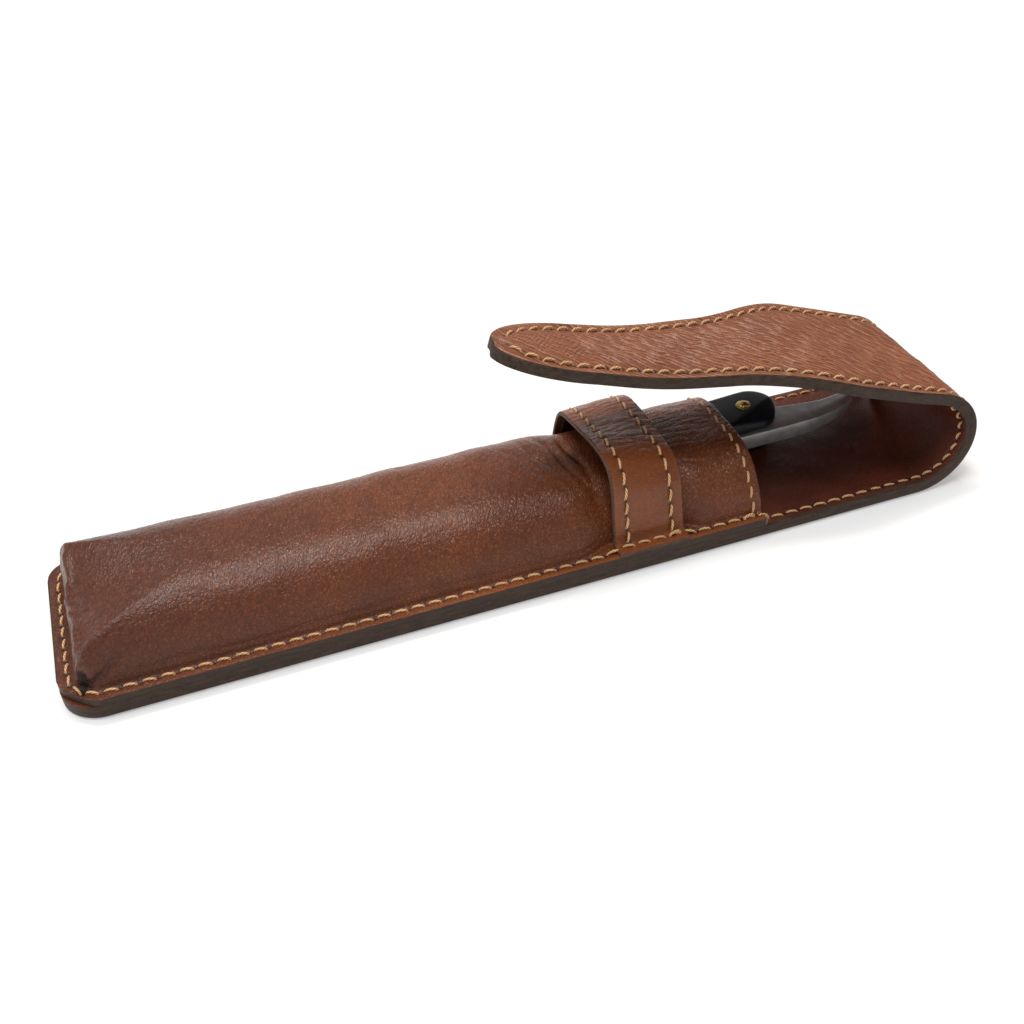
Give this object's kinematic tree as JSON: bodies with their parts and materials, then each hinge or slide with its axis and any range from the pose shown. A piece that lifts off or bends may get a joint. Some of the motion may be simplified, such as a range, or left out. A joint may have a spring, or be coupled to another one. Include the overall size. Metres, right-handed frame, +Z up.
{
  "type": "straight razor case",
  "caption": "Leather pouch with a fold-over tongue flap and keeper band, holding a folded straight razor",
  "frame": {"origin": "bottom centre of the case's box, on the surface that it lies on", "axes": "+X along the case from the closed end to the bend, +Y across it, +Z up"},
  "size_m": [0.1976, 0.0432, 0.049],
  "materials": {
    "outer_leather": "semi-gloss pebbled cognac leather with burnished dark edges",
    "lining_leather": "matt red-brown lining leather",
    "thread": "waxed golden-beige linen thread",
    "scales": "satin black",
    "blade_steel": "brushed carbon steel",
    "wedge": "satin",
    "pins": "polished brass"
  },
  "bodies": {
    "case": {"outer_back": "outer_leather", "lining_back": "lining_leather", "pouch_front": "outer_leather", "mouth_facing": "lining_leather", "keeper_band": "outer_leather", "keeper_lining": "lining_leather", "pouch_seam_thread": "thread", "mouth_seam_thread": "thread", "keeper_seam_thread_left": "thread", "keeper_seam_thread_right": "thread"},
    "bend_1": {"outer_bend_1": "outer_leather", "lining_bend_1": "lining_leather"},
    "bend_2": {"outer_bend_2": "outer_leather", "lining_bend_2": "lining_leather"},
    "bend_3": {"outer_bend_3": "outer_leather", "lining_bend_3": "lining_leather"},
    "flap": {"outer_flap": "outer_leather", "lining_flap": "lining_leather", "flap_seam_thread": "thread"},
    "razor": {"razor_scale_lower": "scales", "razor_scale_upper": "scales", "razor_wedge": "wedge", "razor_pivot_pin": "pins", "razor_wedge_pin": "pins"},
    "blade": {"razor_blade": "blade_steel"}
  },
  "joints": [
    {"name": "flap_bend", "type": "hinge", "parent": "case", "child": "bend_1", "pos_m": [0.09034, 0, 0.00082], "axis": [0, 1, 0], "range_deg": [-2.1, 40.8]},
    {"name": "flap_bend_2", "type": "hinge", "parent": "bend_1", "child": "bend_2", "pos_m": [0.0972, 0, 0.00676], "axis": [0, 1, 0], "range_deg": [-2.1, 40.8]},
    {"name": "flap_bend_3", "type": "hinge", "parent": "bend_2", "child": "bend_3", "pos_m": [0.09851, 0, 0.01574], "axis": [0, 1, 0], "range_deg": [-2.1, 40.8]},
    {"name": "flap_bend_4", "type": "hinge", "parent": "bend_3", "child": "flap", "pos_m": [0.09361, 0, 0.02339], "axis": [0, 1, 0], "range_deg": [-2.1, 40.8]},
    {"name": "razor_slide", "type": "slide", "parent": "case", "child": "razor", "axis": [1, 0, 0], "range_m": [-0.003, 0.006]},
    {"name": "blade_pivot", "type": "hinge", "parent": "razor", "child": "blade", "pos_m": [0.0557, 0.0063, 0.008], "axis": [0, 0, -1], "range_deg": [0, 1.5]}
  ],
  "couplings": [
    {"joint": "flap_bend_2", "follows": "flap_bend", "ratio": 1},
    {"joint": "flap_bend_3", "follows": "flap_bend", "ratio": 1},
    {"joint": "flap_bend_4", "follows": "flap_bend", "ratio": 1}
  ]
}
